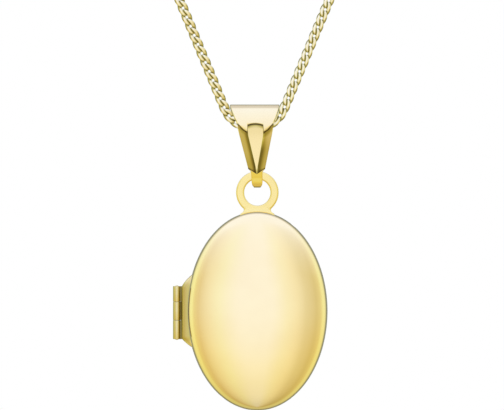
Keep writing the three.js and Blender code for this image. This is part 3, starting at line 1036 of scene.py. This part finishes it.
def clasp_bolt():
    """A curved rod with rounded ends, and the thumb lever that stands out from it."""
    steps = 40
    rod_path = arc_points(CLASP_R, MOUTH[0] - 5, LEVER + 5, steps)
    ends = {0: 0.16, 1: 0.23, steps - 1: 0.23, steps: 0.16}
    rod = tube(rod_path, lambda i: ends.get(i, BOLT_R), 24)
    out = Matrix.Rotation(math.pi / 2 - math.radians(LEVER), 4, "Y")
    return merged(rod, turned(LEVER_OUTLINE, 24, out @ Matrix.Translation((0, 0, CLASP_R))))


def clasp_spring():
    """A coil spring round the inside of the ring, from the bolt to a stop."""
    start, stop = SPRING
    steps = SPRING_TURNS * 30
    points = []
    for i in range(steps + 1):
        t = i / steps
        turn, twist = math.radians(start + (stop - start) * t), 2 * math.pi * SPRING_TURNS * t
        radius = CLASP_R + SPRING_R * math.cos(twist)
        through = SPRING_R * math.sin(twist)
        points.append(Vector((radius * math.cos(turn), through, radius * math.sin(turn))))
    return tube(points, SPRING_WIRE, 8)


def spring_ends():
    """The spring's fixed end and its end at the bolt, in metres."""
    return [CLASP @ point * MM for point in reversed(arc_points(CLASP_R, *SPRING, 1))]


def wire_ring(radius, wire, x, tilt=0.0, split=0.0):
    """A ring of round wire; a jump ring has a hairline split."""
    place = Matrix.Translation((x, 0, 0)) @ Matrix.Rotation(tilt, 4, "X")
    if split:
        points, faces = tube(arc_points(radius, 180 + split, 540 - split, 72), wire, 18)
    else:
        points, faces = tube(arc_points(radius, 0, 360, 72)[:-1], wire, 18, closed=True)
    return [place @ p for p in points], faces


# ---------- light, backdrop and floor ----------
# The colours of the studio by direction, as stops of (degrees, colour).
FRONT_LIGHT = (1.03, 1.13, 1.65)
WHITE, BLACK = (1, 1, 1), (0, 0, 0)
ROUND = [  # turning from the front, with the right side positive
    (-180, (0.9, 0.95, 0.9)), (-120, (0.93, 1.02, 0.8)), (-86, (0.96, 1.06, 0.8)),
    (-70, (0.86, 0.84, 0.62)), (-53, (0.82, 0.76, 0.63)), (-31, (0.95, 0.97, 1.02)),
    (-19, (0.99, 1.09, 1.25)), (-6, FRONT_LIGHT), (4, FRONT_LIGHT), (12, (1.0, 1.07, 1.25)),
    (20, (0.97, 0.99, 1.06)), (31, (0.83, 0.82, 0.77)), (53, (0.75, 0.71, 0.53)),
    (72, (0.84, 0.82, 0.6)), (88, (0.95, 1.04, 0.8)), (180, (0.9, 0.95, 0.9)),
]
HEIGHT_TINT = [
    (-90, (0.66, 0.58, 0.40)), (-60, (0.76, 0.69, 0.47)), (-41, (0.88, 0.80, 0.55)),
    (-24, (0.95, 0.88, 0.62)), (-15, (0.99, 0.93, 0.72)), (0, WHITE), (90, (1, 1.05, 1.2)),
]
OPEN_SKY = [(-90, BLACK), (12, BLACK), (52, WHITE)]  # where the front light takes over
REAR = [  # away from the front, in any direction
    (0, WHITE), (108, WHITE), (124, (0.85, 0.86, 0.82)), (140, (0.5, 0.49, 0.44)),
    (150, (0.33, 0.32, 0.28)), (168, (0.33, 0.34, 0.32)), (176, (0.8, 0.85, 0.85)), (180, WHITE),
]
OVERHEAD = [
    (0, WHITE), (104, WHITE), (118, (0.72, 0.68, 0.62)), (172, (0.72, 0.68, 0.62)),
    (180, (0.9, 0.88, 0.85)),
]
HIGH = [(-90, BLACK), (20, BLACK), (45, WHITE)]  # where the overhead colours replace the rear ones


def maths(tree, operation, *values):
    node = tree.nodes.new("ShaderNodeMath")
    node.operation = operation
    for socket, value in zip(node.inputs, values):
        feed(tree, socket, value)
    return node.outputs[0]


def by_degrees(tree, share, stops, low, high):
    """A colour ramp over a direction that is 0 at one angle and 1 at another."""
    return ramp(tree, share, [((angle - low) / (high - low), colour) for angle, colour in stops])


def studio_colour(tree):
    """The colour that comes from each direction: bright in front and above, darker bands behind."""
    split = tree.nodes.new("ShaderNodeSeparateXYZ")
    tree.links.new(tree.nodes.new("ShaderNodeTexCoord").outputs["Generated"], split.inputs[0])
    x, y, z = split.outputs
    ahead = maths(tree, "MULTIPLY", y, -1.0)
    azimuth = maths(tree, "MULTIPLY_ADD", maths(tree, "ARCTAN2", x, ahead), 0.5 / math.pi, 0.5)
    height = maths(tree, "MULTIPLY_ADD", maths(tree, "ARCSINE", z), 1 / math.pi, 0.5)
    behind = maths(tree, "DIVIDE", maths(tree, "ARCCOSINE", ahead), math.pi)

    sides = by_degrees(tree, azimuth, ROUND, -180, 180)
    upward = by_degrees(tree, height, OPEN_SKY, -90, 90)
    high = by_degrees(tree, height, HIGH, -90, 90)
    tint = by_degrees(tree, height, HEIGHT_TINT, -90, 90)
    rear = by_degrees(tree, behind, REAR, 0, 180)
    overhead = by_degrees(tree, behind, OVERHEAD, 0, 180)
    front = mix(tree, sides, (*FRONT_LIGHT, 1), upward)
    back = mix(tree, rear, overhead, high)
    return mix(tree, mix(tree, front, tint, how="MULTIPLY"), back, how="MULTIPLY")


def studio_light():
    """A white studio; reflections see its colours by direction, and everything else plain white."""
    world = bpy.data.worlds.new("studio")
    bpy.context.scene.world = world
    world.use_nodes = True
    tree = world.node_tree
    tree.nodes.clear()
    mirrored = tree.nodes.new("ShaderNodeLightPath").outputs["Is Glossy Ray"]
    background = tree.nodes.new("ShaderNodeBackground")
    tree.links.new(mix(tree, (*WHITE, 1), studio_colour(tree), mirrored), background.inputs["Color"])
    out = tree.nodes.new("ShaderNodeOutputWorld")
    tree.links.new(background.outputs[0], out.inputs["Surface"])
    bpy.context.scene.view_settings.view_transform = "Standard"
    bpy.context.scene.view_settings.look = "None"


def add_floor():
    """A pale round table well below the hanging locket."""
    shape = turned([(0, -1), (1199, -1), (1200, -2), (1200, -9), (1199, -10), (0, -10)], 128)
    mesh = to_mesh("floor", shape, MM, Matrix.Translation((0, 0, -100)))
    mesh.shade_smooth()
    mesh.set_sharp_from_angle(angle=math.radians(30))
    material, tree, shader = principled("floor")
    tint = ramp(tree, noise(tree, 0.02), [(0.3, (0.90, 0.90, 0.90)), (0.7, (0.92, 0.92, 0.92))])
    tree.links.new(tint, shader.inputs["Base Color"])
    shader.inputs["Roughness"].default_value = 0.9
    mesh.materials.append(material)
    floor = plain_in_mirrors(bpy.data.objects.new("floor", mesh))
    bpy.context.collection.objects.link(floor)


# ---------- the necklace ----------
LOCKET_GOLD = (0.98, 0.80, 0.40)
SHADE_TINTS = ((0.87, 0.76, 0.22), (0.58, 0.57, 0.27), (0.08, 0.06, 0.03))  # a warm tint, then the olive and dark of painted shade in creases and on shaded sides
locket_gold = metal("locket_gold", LOCKET_GOLD, 0.09, 0.02, 0.015)
inner_gold = metal("inner_gold", (0.93, 0.74, 0.36), 0.22, 0.08, 0.03, (1, 1, 0.1), 0.15)
hinge_gold = metal("hinge_gold", (0.95, 0.78, 0.38), 0.12, 0.04, 0.03, (1, 1, 0.1), 0.1, SHADE_TINTS)
eye_gold = metal("eye_gold", (0.95, 0.74, 0.24), 0.12, 0.04, 0.02)
bail_gold = metal("bail_gold", (0.96, 0.78, 0.38), 0.08, 0.02, 0.02, shade_tints=SHADE_TINTS)
chain_gold = metal("chain_gold", (0.98, 0.86, 0.52), 0.12, 0.06, 0.03, shade_tints=SHADE_TINTS)
clasp_gold = metal("clasp_gold", (0.95, 0.77, 0.36), 0.12, 0.05, 0.03)
spring_steel = metal("spring_steel", (0.62, 0.63, 0.65), 0.2, 0.08, 0.02)
clear_film = film_material()
blank_card = card_material()

add_camera()
chain_piece, chain_line, chain_length = add_chain(chain_gold)

eye_x = -CLASP_R - CLASP_TUBE - EYE_RING_R - THIN_WIRE - GAP
jump_x = eye_x - EYE_RING_R - JUMP_RING_R + 0.46
eye_ring_shape = wire_ring(EYE_RING_R, THIN_WIRE, eye_x)
jump_ring_shape = wire_ring(JUMP_RING_R, THIN_WIRE, jump_x, RING_TILT, 1.2)
end_ring_shape = wire_ring(END_RING_R, END_WIRE, CLASP_R + 0.56, RING_TILT, 1.0)
spring_span = ("chain", "clasp_bolt", *spring_ends())
clasp_pieces = [
    make(name, shape, body, material, [node], CLASP)
    for name, shape, body, finish, material, node in (
        ("clasp_ring", clasp_body(), "chain", "clasp_gold", clasp_gold, "clasp_body"),
        ("clasp_bolt_fine", clasp_bolt(), "clasp_bolt", "clasp_gold", clasp_gold, "clasp_bolt"),
        ("clasp_spring_fine", clasp_spring(), spring_span, "spring_steel", spring_steel, "clasp_spring"),
        ("clasp_eye_ring", eye_ring_shape, "chain", "clasp_gold", clasp_gold, "clasp_eye"),
        ("clasp_jump_ring", jump_ring_shape, "chain", "clasp_gold", clasp_gold, "clasp_link"),
        ("end_jump_ring", end_ring_shape, "chain", "clasp_gold", clasp_gold, "end_ring"),
    )
]
for piece in (chain_piece, *clasp_pieces):
    plain_in_mirrors(piece)

make("front_shell", cover(FRONT), "locket_front", locket_gold, ["front_cover"], LOCKET)
make("back_shell", cover(BACK), "locket_back", locket_gold, ["back_cover"], LOCKET)
make("snap_lip", snap_rim(), "locket_back", inner_gold, ["snap_rim"], LOCKET)
for half, side, seat in (("front", FRONT, FRONT_SEAT), ("back", BACK, BACK_SEAT)):
    body = f"locket_{half}"
    film = oval_sheet(FILM_INSET, seat + FILM[0], seat + FILM[1], side)
    card = oval_sheet(CARD_INSET, seat + CARD[0], seat + CARD[1], side)
    bezel, leaf = photo_frame(side, seat), hinge_leaf(side)
    make(f"{half}_bezel", bezel, body, inner_gold, [f"{half}_photo_frame"], LOCKET)
    make(f"{half}_film", film, body, clear_film, [f"{half}_window"], LOCKET)
    make(f"{half}_card", card, body, blank_card, [f"{half}_photo_card"], LOCKET)
    plain_in_mirrors(
        make(f"{half}_leaf", leaf, body, hinge_gold, [f"{half}_hinge_leaf"], LOCKET)
    )
plain_in_mirrors(
    make("eye_plate", hanging_eye(), "locket_back", eye_gold, ["hanging_eye"], LOCKET, 15)
)

for name, low, high, side, body in (
    ("lower", HINGE_BOTTOM, -KNUCKLE_SPLIT - SLIT, FRONT, "locket_front"),
    ("middle", -KNUCKLE_SPLIT, KNUCKLE_SPLIT, BACK, "locket_back"),
    ("upper", KNUCKLE_SPLIT + SLIT, HINGE_TOP, FRONT, "locket_front"),
):
    barrel = knuckle(low, high, side)
    make(f"knuckle_{name}", barrel, body, hinge_gold, [f"hinge_knuckle_{name}"], LOCKET)
make("pin", hinge_pin(), "locket_back", hinge_gold, ["hinge_pin"], LOCKET)
plain_in_mirrors(make("bail_loop", bail(), "bail", bail_gold, ["bail"], BAIL, 28))

studio_light()
add_floor()
